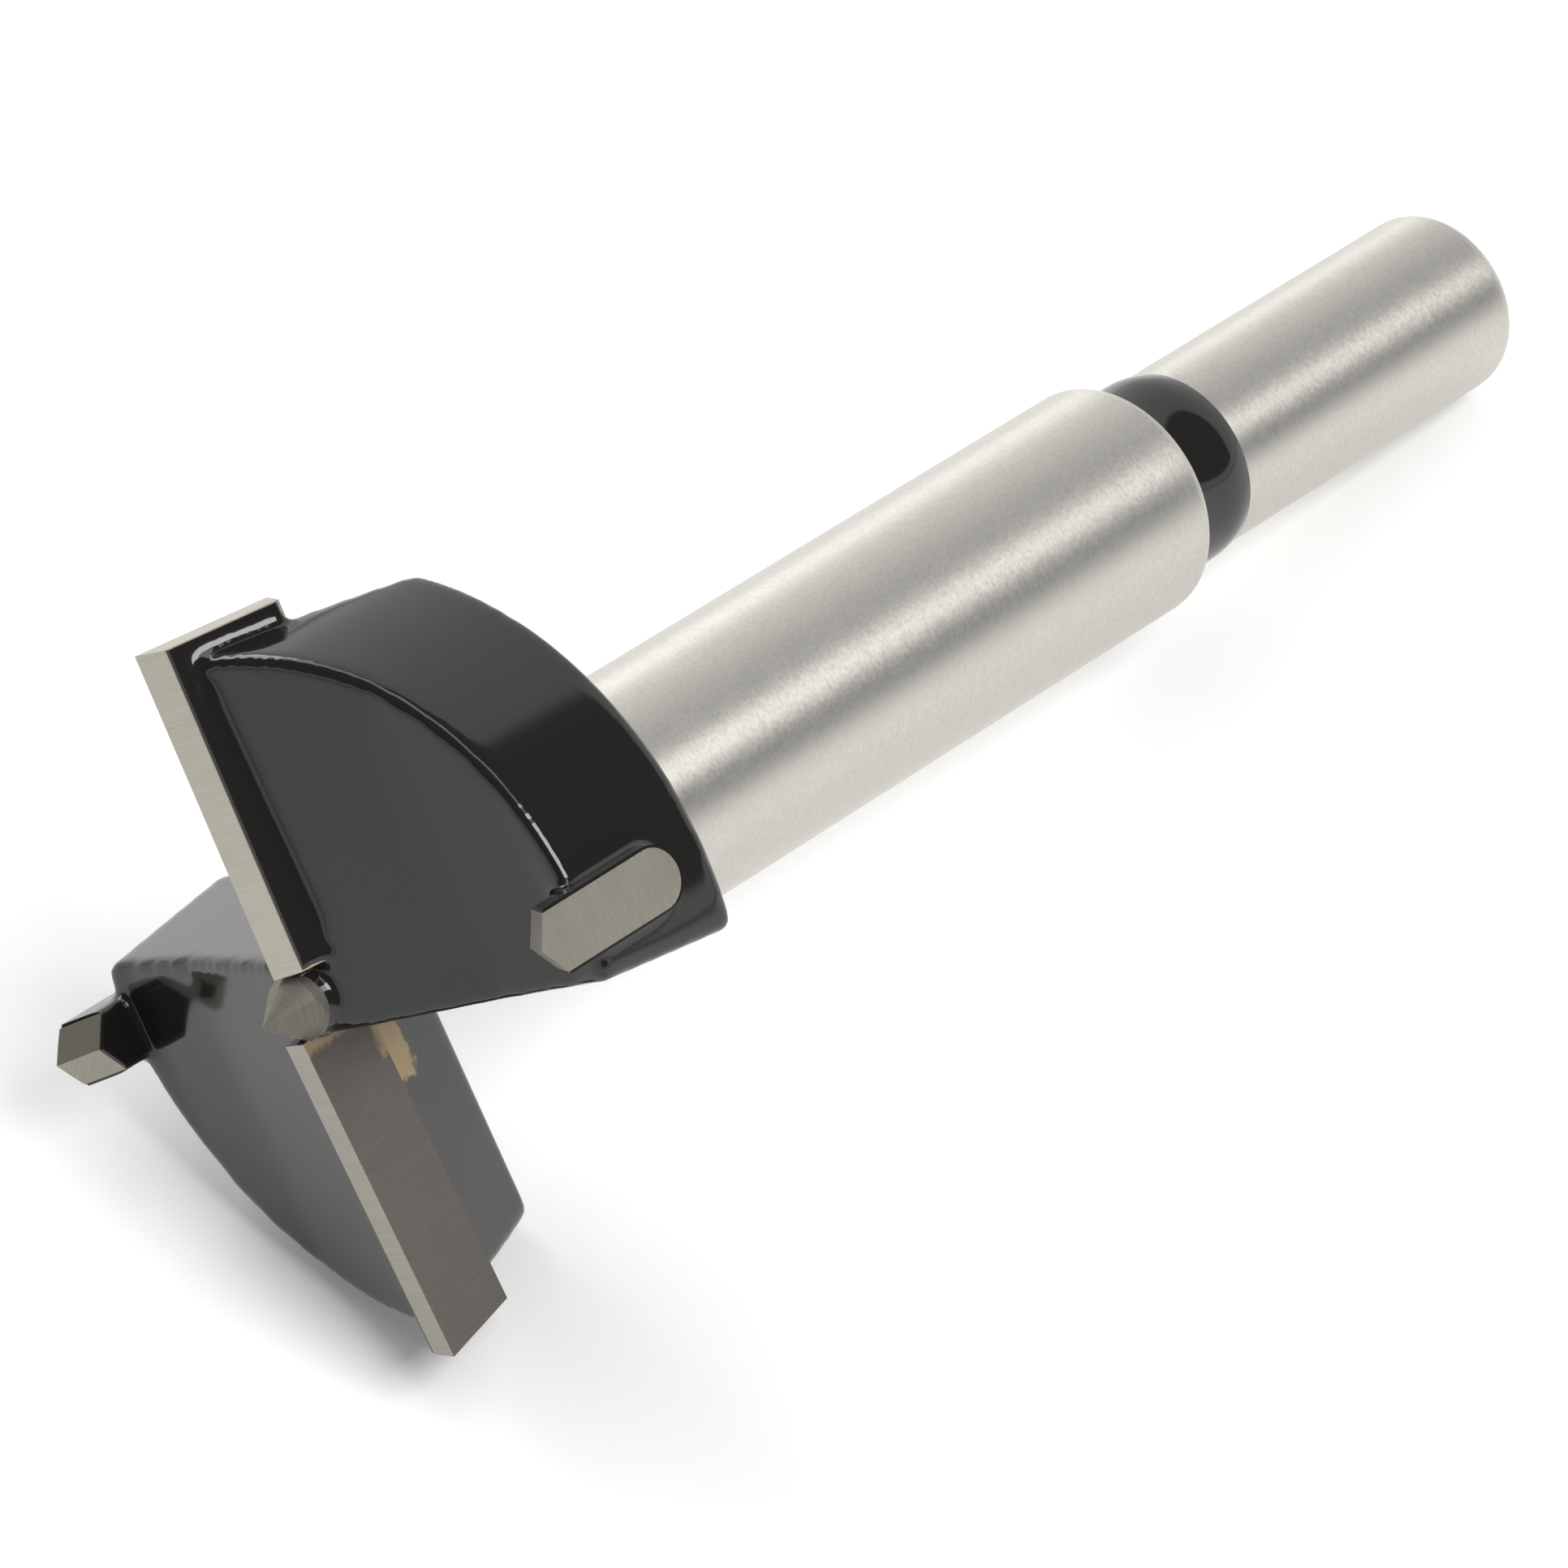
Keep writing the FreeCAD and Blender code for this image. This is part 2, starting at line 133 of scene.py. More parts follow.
class BitSizes(PropertyGroup):
    """Sizes of the bit; along the axis they start at the outer corners of the cutting edges"""

    point_rise: length("Point rise", "Apex of the centre point above the cutting corners", 2.2)
    point_radius: length("Point radius", "Radius of the centre point at the foot of its cone", 1.6)
    point_flat: angle("Point flat", "Lean of the flats that are ground on the centre point", 33.0)
    point_land: length("Point land", "Bare cylinder below the cone", 0.3)
    head_depth: length("Head depth", "Cutting corners to the rear face of the head", 12.1)
    shaft_radius: length("Shaft radius", "Radius of the shaft behind the head", 6.0)
    shaft_end: length("Shaft end", "Cutting corners to the rear face of the shaft", 60.0)
    shaft_round: length("Shaft rounding", "Rounding of the rear edge of the shaft", 0.9)
    shank_radius: length("Shank radius", "Radius of the shank", SHANK_MOUNT["dims"]["r_mm"])
    shank_end: length("Shank end", "Cutting corners to the end of the shank", 86.4)
    shank_round: length("Shank rounding", "Rounding of the end of the shank", 1.1)
    band_end: length("Band end", "Cutting corners to the far edge of the enamelled band", 64.3)
    turned_steps: IntProperty(name="Turned steps", description="Faces round the shaft",
                              default=180, min=24)
    head_radius: length("Head radius", "Radius of the rim of the steel head", 16.4)
    cut_radius: length("Cut radius", "Radius of the hole that the bit bores", 17.5)
    rake: angle("Rake", "Lean of a cutting face away from the axis", 22.0)
    runout_radius: length("Run-out radius", "Hollow that a gullet leaves in the shaft", 15.0)
    runout_wall: length("Run-out wall", "Axis to the trailing wall at the rear of the head", 3.167)
    runout_sweep: angle("Run-out sweep", "Sweep of the trailing wall in plan", 3.3)
    runout_tilt: angle("Run-out tilt", "Lean of the trailing wall away from the axis", 7.2)
    spur_rise: length("Spur rise", "Ridge of a spur above the cutting corners", 0.2)
    spur_slope: angle("Spur slope", "Slope of the facets on each side of the ridge", 34.0)
    spur_fall: angle("Spur fall", "Fall of the ridge towards the axis", 30.0)


class EnamelSizes(PropertyGroup):
    """Sizes of the enamel coat on the head"""

    collar: length("Collar", "Enamel on the shaft behind the head", 0.9)
    voxel: length("Voxel", "Size of the faces that the coat is made of", 0.18)
    coat: length("Coat", "Thickness of the coat", 0.04)
    thick_coat: length("Thick coat", "Extra coat on the backs of plates and sides of spurs", 0.1)
    bare_depth: length("Bare depth", "Depth of the coat below a ground face", 0.04)
    face_depth: length("Face depth", "Depth of the coat below a cutting face", 0.15)
    allowance: length("Allowance", "Carbide that is ground off through the coat", 0.9)
    rounding: IntProperty(name="Rounding", description="Passes that round the edges of the coat",
                          default=28, min=0)
    easing: IntProperty(name="Easing", description="Passes that ease the slopes of a wing's top",
                        default=260, min=0)
    sagging: IntProperty(name="Sagging", description="Passes that soften the webs behind plates",
                         default=140, min=0)


class BitColours(PropertyGroup):
    """Colours of the finishes"""

    enamel: colour("Enamel", "Black enamel", (0.0145, 0.0140, 0.0128))
    steel: colour("Steel", "Ground steel", (0.645, 0.626, 0.578))
    carbide: colour("Carbide", "Ground carbide, fresh", (0.45, 0.425, 0.366))
    carbide_warm: colour("Warm carbide", "Ground carbide, browned", (0.128, 0.112, 0.097))
    braze: colour("Braze", "Brazing metal", (0.37, 0.285, 0.17))


class StudioSettings(PropertyGroup):
    """Camera"""

    lens: FloatProperty(name="Lens", description="Focal length", default=234.76, unit="CAMERA")
    distance: FloatProperty(name="Distance", description="Camera to the point it aims at",
                            default=0.47986, unit="LENGTH")
    turn: FloatProperty(name="Turn", description="Turn of the camera about the vertical",
                        default=math.radians(-49.472), subtype="ANGLE")
    height: FloatProperty(name="Height", description="Angle of the camera above the floor",
                          default=math.radians(42.750), subtype="ANGLE")
    roll: FloatProperty(name="Roll", description="Roll of the camera",
                        default=math.radians(-0.541), subtype="ANGLE")
    aim: FloatVectorProperty(name="Aim", description="Point that the camera aims at",
                             default=(-10.807 * MM, -2.421 * MM, 11.112 * MM), subtype="XYZ")


# The bit's own frame

def mean_of(piece):
    """Mean place of a piece's corners."""
    vertices = piece.data.vertices
    return sum((v.co for v in vertices), Vector()) / len(vertices)


def find_bit(point_rise):
    """Matrix from the bit's own frame: Z out of the tip, X along the first cutting edge."""
    tip = -Vector(SHANK_MOUNT["axis"]).normalized()
    foot = Vector(SHANK_MOUNT["pos_m"])
    nodes = frame["nodes"]
    apart = mean_of(nodes[SPURS[1]]) - mean_of(nodes[SPURS[0]])
    ahead = (apart - tip * apart.dot(tip)).normalized()
    across = ahead.cross(tip)
    reach = max((v.co - foot).dot(tip) for v in nodes[BODY_NODE].data.vertices)
    origin = foot + tip * (reach - point_rise)
    matrix = Matrix((across, ahead, tip)).transposed().to_4x4()
    matrix.translation = origin
    return matrix


def bit_matrix():
    """Matrix from the bit's own frame, at the sizes that are set."""
    return find_bit(bpy.context.scene.bit_sizes.point_rise)


def wing_frames():
    """The bit's own frame once for each wing."""
    return [Matrix.Rotation(math.pi * wing, 4, "Z") for wing in range(len(PLATES))]


def turn_into_bit(matrix):
    """Rotation that a Mapping node needs to read a pattern in the bit's own frame."""
    return matrix.to_3x3().inverted().to_euler("XYZ")


# Helpers for modelling

def deselect():
    """Leave nothing selected, in object mode."""
    if bpy.context.object and bpy.context.object.mode != "OBJECT":
        bpy.ops.object.mode_set(mode="OBJECT")
    bpy.ops.object.select_all(action="DESELECT")


def choose(piece):
    """Select one piece and make it active."""
    deselect()
    piece.select_set(True)
    bpy.context.view_layer.objects.active = piece


def new_piece(name, points, edges=(), faces=()):
    """A mesh object from a few corners."""
    mesh = bpy.data.meshes.new(name)
    mesh.from_pydata(points, edges, faces)
    piece = bpy.data.objects.new(name, mesh)
    bpy.context.scene.collection.objects.link(piece)
    choose(piece)
    return piece


def copy_of(node, name, frame_matrix):
    """A merged copy of a CAD node in the bit's own frame, free to be shaped."""
    choose(frame["nodes"][node])
    bpy.ops.object.duplicate()
    piece = bpy.context.object
    piece.parent = None
    piece.name = name
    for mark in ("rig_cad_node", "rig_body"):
        if mark in piece:
            del piece[mark]
    bpy.ops.object.mode_set(mode="EDIT")
    bpy.ops.mesh.select_all(action="SELECT")
    bpy.ops.mesh.remove_doubles(threshold=MERGE_DISTANCE)
    bpy.ops.object.mode_set(mode="OBJECT")
    place(piece, frame_matrix.inverted())
    return piece


def copy_piece(piece, name):
    """A copy with its own mesh."""
    copy = piece.copy()
    copy.data = piece.data.copy()
    copy.name = name
    bpy.context.scene.collection.objects.link(copy)
    return copy


def cut_away(piece, point, normal):
    """Cut a piece with a plane and drop what lies on the normal's side."""
    choose(piece)
    bpy.ops.object.mode_set(mode="EDIT")
    bpy.ops.mesh.select_all(action="SELECT")
    bpy.ops.mesh.bisect(plane_co=point, plane_no=normal, use_fill=True, clear_outer=True)
    bpy.ops.object.mode_set(mode="OBJECT")


def shift(piece, wanted, offset):
    """Move the corners of a piece that a test picks out."""
    choose(piece)
    bpy.ops.object.mode_set(mode="EDIT")
    bpy.ops.mesh.select_mode(type="VERT")
    bpy.ops.mesh.select_all(action="DESELECT")
    bpy.ops.object.mode_set(mode="OBJECT")
    for vertex in piece.data.vertices:
        vertex.select = bool(wanted(vertex.co))
    bpy.ops.object.mode_set(mode="EDIT")
    bpy.ops.transform.translate(value=offset)
    bpy.ops.object.mode_set(mode="OBJECT")


def prism(name, outline, start, end):
    """A closed prism: an outline in one plane at its start, bridged to its shifted copy."""
    points = [Vector(corner) + Vector(start) for corner in outline]
    piece = new_piece(name, points, (), [tuple(range(len(points)))])
    bpy.ops.object.mode_set(mode="EDIT")
    bpy.ops.mesh.select_all(action="SELECT")
    step = Vector(end) - Vector(start)
    bpy.ops.mesh.extrude_region_move(TRANSFORM_OT_translate={"value": step})
    bpy.ops.mesh.select_all(action="SELECT")
    bpy.ops.mesh.normals_make_consistent(inside=False)
    bpy.ops.object.mode_set(mode="OBJECT")
    return piece


def grind(piece, cutter):
    """Take a cutter's shape out of a piece."""
    finish_modifier(piece, "BOOLEAN", operation="DIFFERENCE", solver="MANIFOLD", object=cutter)
    bpy.data.objects.remove(cutter)


def join(pieces):
    """Join pieces into the first one."""
    choose(pieces[0])
    for piece in pieces[1:]:
        piece.select_set(True)
    bpy.ops.object.join()
    return pieces[0]


def finish_modifier(piece, kind, **settings):
    """Add a modifier and apply it at once."""
    choose(piece)
    modifier = piece.modifiers.new(kind.title(), kind)
    for key, value in settings.items():
        setattr(modifier, key, value)
    bpy.ops.object.modifier_apply(modifier=modifier.name)


def smooth(piece, sharp):
    """Shade a piece smooth, apart from the edges that bend by more than some degrees."""
    choose(piece)
    bpy.ops.object.shade_smooth_by_angle(angle=math.radians(sharp))


def place(piece, matrix):
    """Move a piece out of the bit's own frame, with its place in its mesh."""
    choose(piece)
    piece.matrix_world = matrix
    bpy.ops.object.transform_apply(location=True, rotation=True, scale=True)


def turned(name, profile, steps, matrix):
    """A turned piece: a profile of (radius, height) spun about the axis."""
    points = [(radius, 0.0, height) for radius, height in profile]
    edges = [(index, index + 1) for index in range(len(points) - 1)]
    piece = new_piece(name, points, edges)
    bpy.ops.object.mode_set(mode="EDIT")
    bpy.ops.mesh.select_all(action="SELECT")
    bpy.ops.mesh.spin(steps=steps, angle=2 * math.pi, center=(0, 0, 0), axis=(0, 0, 1))
    bpy.ops.mesh.select_all(action="SELECT")
    bpy.ops.mesh.remove_doubles(threshold=MERGE_DISTANCE)
    bpy.ops.mesh.normals_make_consistent(inside=False)
    bpy.ops.object.mode_set(mode="OBJECT")
    wrap_round(piece)
    smooth(piece, TURNED_EDGE)
    place(piece, matrix)
    return piece


def wrap_round(piece):
    """UV map with U along the turned profile and V round the axis, for the grinding marks."""
    layer = piece.data.uv_layers.new(name="Turning")
    unit = 10 * MM
    for polygon in piece.data.polygons:
        corners = [piece.data.vertices[index].co for index in polygon.vertices]
        middle = math.atan2(polygon.center.y, polygon.center.x)
        for index, corner in zip(polygon.loop_indices, corners):
            radius = math.hypot(corner.x, corner.y)
            turn = middle
            if radius > MERGE_DISTANCE:
                turn = math.atan2(corner.y, corner.x)
            if turn - middle > math.pi:
                turn -= 2 * math.pi
            elif middle - turn > math.pi:
                turn += 2 * math.pi
            layer.data[index].uv = ((-corner.z - radius) / unit, turn / (2 * math.pi))


def rounding(centre_radius, centre_height, radius, start, end, count=8):
    """Points of an arc in a turned profile, from one angle to another."""
    points = []
    for index in range(count + 1):
        turn = math.radians(start + (end - start) * index / count)
        points.append((centre_radius + radius * math.cos(turn),
                       centre_height + radius * math.sin(turn)))
    return points


def straight(radius, start, end, count=24):
    """Points between the ends of a straight stretch of a turned profile."""
    return [(radius, start + (end - start) * index / count) for index in range(1, count)]


def paint(piece, material):
    """Give a piece one material."""
    piece.data.materials.clear()
    piece.data.materials.append(material)


def settle(piece):
    """Let a piece ride with the bit in the place of the steel body."""
    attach(piece, "root")
    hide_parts(BODY_NODE)


# Helpers for materials

class Wire:
    """A socket or a number that maths can be written with."""

    def __init__(self, shader, end):
        self.shader = shader
        self.end = end

    def maths(self, operation, *others):
        """Result of a Math node that takes this wire first."""
        sockets = dict(enumerate((self,) + others))
        return self.shader.node("ShaderNodeMath", {"operation": operation}, sockets)

    def __add__(self, other):
        return self.maths("ADD", other)

    def __sub__(self, other):
        return self.maths("SUBTRACT", other)

    def __rsub__(self, other):
        return self.shader.value(other).maths("SUBTRACT", self)

    def __mul__(self, other):
        return self.maths("MULTIPLY", other)

    def held(self, low, high):
        """Share from 0 to 1 as the value goes from one number to another."""
        return self.shader.node("ShaderNodeMapRange", None,
                                {"Value": self, "From Min": low, "From Max": high})

    def between(self, start, full, fade, end):
        """Share that rises between two numbers and falls between two others."""
        return self.held(start, full) * (1 - self.held(fade, end))

    __radd__ = __add__
    __rmul__ = __mul__


class Shader:
    """A material that is built node by node."""

    def __init__(self, name):
        self.material = bpy.data.materials.new(name)
        self.material.use_nodes = True
        self.tree = self.material.node_tree
        self.surface = self.tree.nodes["Principled BSDF"]

    @classmethod
    def for_tree(cls, tree):
        """A builder for a tree that exists already."""
        shader = cls.__new__(cls)
        shader.tree = tree
        return shader

    def value(self, number):
        """A number as a wire."""
        node = self.tree.nodes.new("ShaderNodeValue")
        node.outputs[0].default_value = number
        return Wire(self, node.outputs[0])

    def node(self, kind, settings=None, sockets=None, output=0):
        """Add a node: its settings first, then the values or links of its sockets."""
        node = self.tree.nodes.new(kind)
        for key, setting in (settings or {}).items():
            setattr(node, key, setting)
        for key, value in (sockets or {}).items():
            self.feed(node.inputs[key], value)
        return Wire(self, node.outputs[output])

    def feed(self, socket, value):
        """Link a wire to a socket, or set the socket's own value."""
        if isinstance(value, Wire):
            self.tree.links.new(value.end, socket)
        else:
            socket.default_value = value

    def set(self, **sockets):
        """Feed the surface's own sockets, named in lower case with underscores."""
        for key, value in sockets.items():
            self.feed(self.surface.inputs[key.replace("_", " ").title().replace("Ior", "IOR")],
                      value)

    def in_bit(self, turn):
        """Object coordinates turned into the bit's own frame, apart from its origin."""
        coordinates = self.node("ShaderNodeTexCoord", output="Object")
        return self.node("ShaderNodeMapping", {"vector_type": "POINT"},
                         {"Vector": coordinates, "Rotation": turn})

    def along(self, turn, scale):
        """Coordinates in the bit's own frame, scaled for a pattern."""
        return self.node("ShaderNodeMapping", {"vector_type": "POINT"},
                         {"Vector": self.in_bit(turn), "Scale": scale})

    def place(self, matrix):
        """Millimetres in the bit's own frame, as three wires."""
        inverse = matrix.inverted()
        coordinates = self.node("ShaderNodeTexCoord", output="Object")
        sockets = {"Vector": coordinates, "Location": inverse.translation / MM,
                   "Rotation": turn_into_bit(matrix), "Scale": (1 / MM, 1 / MM, 1 / MM)}
        return self.parts(self.node("ShaderNodeMapping", {"vector_type": "POINT"}, sockets))

    def facing(self, matrix):
        """The surface's normal in the bit's own frame, as three wires."""
        normal = self.node("ShaderNodeTexCoord", output="Normal")
        sockets = {"Vector": normal, "Rotation": turn_into_bit(matrix)}
        return self.parts(self.node("ShaderNodeMapping", {"vector_type": "POINT"}, sockets))

    def parts(self, vector):
        """The three parts of a vector."""
        split = self.node("ShaderNodeSeparateXYZ", None, {"Vector": vector})
        return [Wire(self, socket) for socket in split.end.node.outputs]

    def rays(self, *kinds):
        """1 for the rays of some kinds and 0 for all others."""
        outputs = self.node("ShaderNodeLightPath").end.node.outputs
        found = Wire(self, outputs[kinds[0]])
        for kind in kinds[1:]:
            found = found.maths("MAXIMUM", Wire(self, outputs[kind]))
        return found

    def noise(self, vector, scale=1.0, detail=3.0, roughness=0.55):
        """Level of a noise, about a half on average."""
        return self.node("ShaderNodeTexNoise", None,
                         {"Vector": vector, "Scale": scale, "Detail": detail,
                          "Roughness": roughness})

    def mix(self, fac, first, second):
        """Colour between two others. The node's colour sockets can only be told by number."""
        sockets = {0: fac, 6: first, 7: second}
        return self.node("ShaderNodeMix", {"data_type": "RGBA"}, sockets, output=2)

    def bump(self, height, strength, distance, under=None):
        """Normal of a surface that is raised by a height, over another bump if there is one."""
        sockets = {"Height": height, "Strength": strength, "Distance": distance}
        if under is not None:
            sockets["Normal"] = under
        return self.node("ShaderNodeBump", None, sockets)


def scaled(rgb, share=1.0):
    """A colour made lighter or darker, with alpha."""
    return tuple(channel * share for channel in rgb[:3]) + (1.0,)


def grey(level):
    """A grey, with alpha."""
    return (level, level, level, 1.0)


# Finishes

def enamel_finish(colours, matrix):
    """Thick gloss black enamel with a faint orange peel, and bare braze beside the plates."""
    gloss, dull = 0.08, 0.42
    shader = Shader("gloss_enamel")
    flat = shader.in_bit((0, 0, 0))
    peel = shader.noise(flat, scale=900.0, detail=2.0)
    dust = shader.noise(flat, scale=9000.0, detail=2.0)
    lift = shader.bump(peel, strength=0.10, distance=0.02 * MM)
    lift = shader.bump(dust, strength=0.12, distance=0.004 * MM, under=lift)
    bare = wall_braze(shader, flat, matrix)
    base = shader.mix(bare, scaled(colours.enamel), scaled(colours.braze))
    shader.set(base_color=base, metallic=bare, roughness=gloss + bare * (dull - gloss), ior=1.5,
               normal=lift)
    return shader.material


def wall_braze(shader, flat, matrix):
    """Ragged patch of braze on the gullet wall behind each plate, in millimetres."""
    ragged = shader.noise(flat, scale=800.0) * 2.0 - 1.0
    x, y, z = shader.place(matrix)
    out = (x.maths("ABSOLUTE") + ragged).between(*WALL_OUT)
    deep = (z + ragged).between(*WALL_DEEP)
    ahead = (y * x.maths("SIGN")).between(*WALL_AHEAD)
    return out * deep * ahead


def ground_noise(shader, turn, around, along, detail, roughness):
    """Noise that is drawn out round the axis, so that it reads as scratches."""
    vector = shader.along(turn, (around, around, along))
    return shader.noise(vector, detail=detail, roughness=roughness)


def steel_finish(colours, turn):
    """Cylindrically ground steel: fine short scratches round the axis, satin."""
    shader = Shader("satin_steel")
    rings = ground_noise(shader, turn, around=1500.0, along=9000.0, detail=3.0, roughness=0.7)
    broad = ground_noise(shader, turn, around=160.0, along=1200.0, detail=2.0, roughness=0.5)
    grain = ground_noise(shader, turn, around=4200.0, along=6000.0, detail=2.0, roughness=0.7)
    clean = (rings * 0.35 + grain * 0.65).held(0.32, 0.60)
    base = shader.mix(clean, scaled(colours.steel, SCRATCH_TONE), scaled(colours.steel))
    rough = 0.29 + rings * 0.08 + broad * 0.04 + grain * 0.14
    lift = shader.bump(grain, strength=0.40, distance=0.004 * MM)
    tangent = shader.node("ShaderNodeTangent", {"direction_type": "UV_MAP", "uv_map": "Turning"})
    shader.set(base_color=base, metallic=1.0, roughness=rough, anisotropic=0.8,
               normal=lift, tangent=tangent)
    return shader.material


def carbide_finish(name, matrix, bright, brown, lines, blur=0.0, braze=None):
    """Ground carbide: bright where it was ground last, browner elsewhere, brazed inside."""
    shader = Shader(name)
    turn = turn_into_bit(matrix)
    strokes = shader.noise(shader.along(turn, lines), roughness=0.65)
    cloud = shader.noise(shader.in_bit(turn), scale=260.0, roughness=0.6)
    stroked = strokes.held(0.25, 0.75)
    last = shader.mix(stroked, scaled(bright), scaled(bright, SCRATCH_TONE))
    patchy = shader.mix(cloud.held(0.30, 0.70), scaled(brown, 1.08), scaled(brown, 0.88))
    first = shader.mix(stroked, patchy, scaled(brown, 0.80))
    # Faces that look to the tip or to the side were ground last
    aside, _, up = shader.facing(matrix)
    ground = up.held(0.35, 0.45).maths("MAXIMUM", aside.maths("ABSOLUTE").held(0.75, 0.85))
    base = shader.mix(ground, first, last)
    rough = 0.32 + blur + strokes * 0.14
    if braze:
        brazed = seat_braze(shader, turn, matrix) * (1 - ground)
        base = shader.mix(brazed, base, scaled(braze))
        rough = rough + brazed * 0.12
    lift = shader.bump(strokes, strength=0.22, distance=0.003 * MM)
    shader.set(base_color=base, metallic=1.0, roughness=rough, normal=lift)
    return shader.material


def seat_braze(shader, turn, matrix):
    """Ragged braze on the inner end of a plate and at its rear corner, in millimetres."""
    x, _, z = shader.place(matrix)
    ragged = shader.noise(shader.in_bit(turn), scale=700.0) * 1.2 - 0.6
    out = x.maths("ABSOLUTE") + ragged
    inner = 1 - out.held(*SEAT_OUT)
    corner = (1 - out.held(*CORNER_OUT)) * (1 - (z + ragged).held(*CORNER_DEEP))
    return inner.maths("MAXIMUM", corner)


def floor_finish():
    """White paper that glows a little for the camera and for gloss, and keeps its shadow."""
    shader = Shader("white_floor")
    lit = shader.rays("Is Camera Ray", "Is Glossy Ray", "Is Transmission Ray")
    glow = shader.mix(lit, grey(0.0), grey(0.15))
    shader.set(base_color=grey(0.92), roughness=0.9, emission_color=glow, emission_strength=1.0)
    return shader.material


def studio_world():
    """White round the horizon, a pale sweep beyond the bit and a dark studio above."""
    dark, pale, white = 0.08, 0.9, 1.0
    horizon, edge = (0.08, 0.12), (0.06, 0.12)
    world = bpy.data.worlds.new("studio")
    bpy.context.scene.world = world
    world.use_nodes = True
    shader = Shader.for_tree(world.node_tree)
    direction = shader.node("ShaderNodeTexCoord", output="Generated")
    beyond = shader.node("ShaderNodeVectorMath", {"operation": "DOT_PRODUCT"},
                         {0: direction, 1: (1.0, 1.0, -1.0)}, output="Value")
    sweep = shader.mix(beyond.held(*edge), grey(dark), grey(pale))
    above = shader.parts(direction)[2].held(*horizon)
    level = shader.mix(above, grey(white), sweep)
    background = world.node_tree.nodes["Background"]
    shader.feed(background.inputs["Color"], level)
    background.inputs["Strength"].default_value = 1.0


# Pieces and their operators

def unground_plate(wing, matrix, enamel, rake):
    """A plate as it is coated: too tall and too wide, and thicker at its back."""
    face = Vector((0, math.cos(rake), -math.sin(rake)))
    down = Vector((0, -math.sin(rake), -math.cos(rake)))
    plate = copy_of(PLATES[wing], "plate_under_coat", matrix)
    middle = mean_of(plate)
    back = 0.4 * MM
    across = Vector((enamel.allowance, 0, 0))
    shift(plate, lambda co: (co - middle).dot(down) < 0, -down * enamel.allowance)
    shift(plate, lambda co: co.x > middle.x, across)
    shift(plate, lambda co: (co - middle).dot(face) > 0, -face * enamel.face_depth)
    shift(plate, lambda co: (co - middle).dot(face) < -back, -face * enamel.thick_coat)
    return plate


def unground_spur(wing, matrix, enamel):
    """A spur as it is coated: too long and too proud, with a thicker coat on its sides."""
    spur = copy_of(SPURS[wing], "spur_under_coat", matrix)
    middle = mean_of(spur)
    thick = enamel.thick_coat
    # Corners beyond these limits belong to the tip, the rear, the front, the back and the sides
    tip, rear = -3 * MM, -8 * MM
    depth, side = 0.5 * MM, 0.7 * MM
    shift(spur, lambda co: co.z > tip, (0, 0, enamel.allowance))
    shift(spur, lambda co: co.y < middle.y - depth, (0, -enamel.allowance, 0))
    shift(spur, lambda co: co.y > middle.y + depth, (0, thick, 0))
    shift(spur, lambda co: co.x > side, (thick, 0, 0))
    shift(spur, lambda co: co.x < -side, (-thick, 0, 0))
    shift(spur, lambda co: co.z < rear, (0, 0, -thick))
    return spur


def strip_wheel(body, enamel):
    """Space that grinding leaves above the strip behind a cutting edge."""
    low = enamel.bare_depth
    fall = math.tan(math.radians(12.0))
    ahead, behind, top = 1.0 * MM, -3.0 * MM, 2.5 * MM
    rise = 0.45 * MM
    inner, outer = 0.7 * MM, 19.5 * MM
    slope = rise / (body.cut_radius - body.point_radius)
    lift = (body.cut_radius - outer) * slope
    outline = [(outer, ahead, ahead * fall - low + lift),
               (outer, behind, behind * fall - low + lift),
               (outer, behind, top), (outer, ahead, top)]
    return prism("strip_wheel", outline, (0, 0, 0), (inner - outer, 0, (outer - inner) * slope))


def end_wheel(body, enamel):
    """Space that grinding leaves beyond the outer end of a plate."""
    flare = math.tan(math.radians(6.0))
    ahead, behind, top, depth = 1.5 * MM, -5.2 * MM, 3 * MM, 11 * MM
    start = body.cut_radius - enamel.bare_depth
    reach = body.cut_radius + 4 * MM
    outline = [(start + ahead * flare, ahead, top), (start + behind * flare, behind, top),
               (reach, behind, top), (reach, ahead, top)]
    return prism("end_wheel", outline, (0, 0, 0), (0, 0, -depth))


def spur_wheel(body, enamel):
    """Space that grinding leaves above the two facets of a spur."""
    half, top = 2.2 * MM, 4 * MM
    ridge = body.spur_rise - enamel.bare_depth
    edge = ridge - half * math.tan(body.spur_slope)
    outline = [(-half, 0, edge), (0, 0, ridge), (half, 0, edge), (half, 0, top), (-half, 0, top)]
    outer = body.cut_radius + 2 * MM
    inner = body.head_radius - 1.3 * MM
    fall = math.tan(body.spur_fall)
    start = (0, -outer, (outer - body.cut_radius) * fall)
    end = (0, -inner, (inner - body.cut_radius) * fall)
    return prism("spur_wheel", outline, start, end)


def rim_wheel(body, enamel):
    """Ring that cylindrical grinding leaves round the spurs."""
    start, reach = body.cut_radius - enamel.bare_depth, body.cut_radius + 4 * MM
    top, bottom, steps = 3 * MM, -body.head_depth, 240
    profile = [(start, bottom), (reach, bottom), (reach, top), (start, top), (start, bottom)]
    return turned("rim_wheel", profile, steps, Matrix())


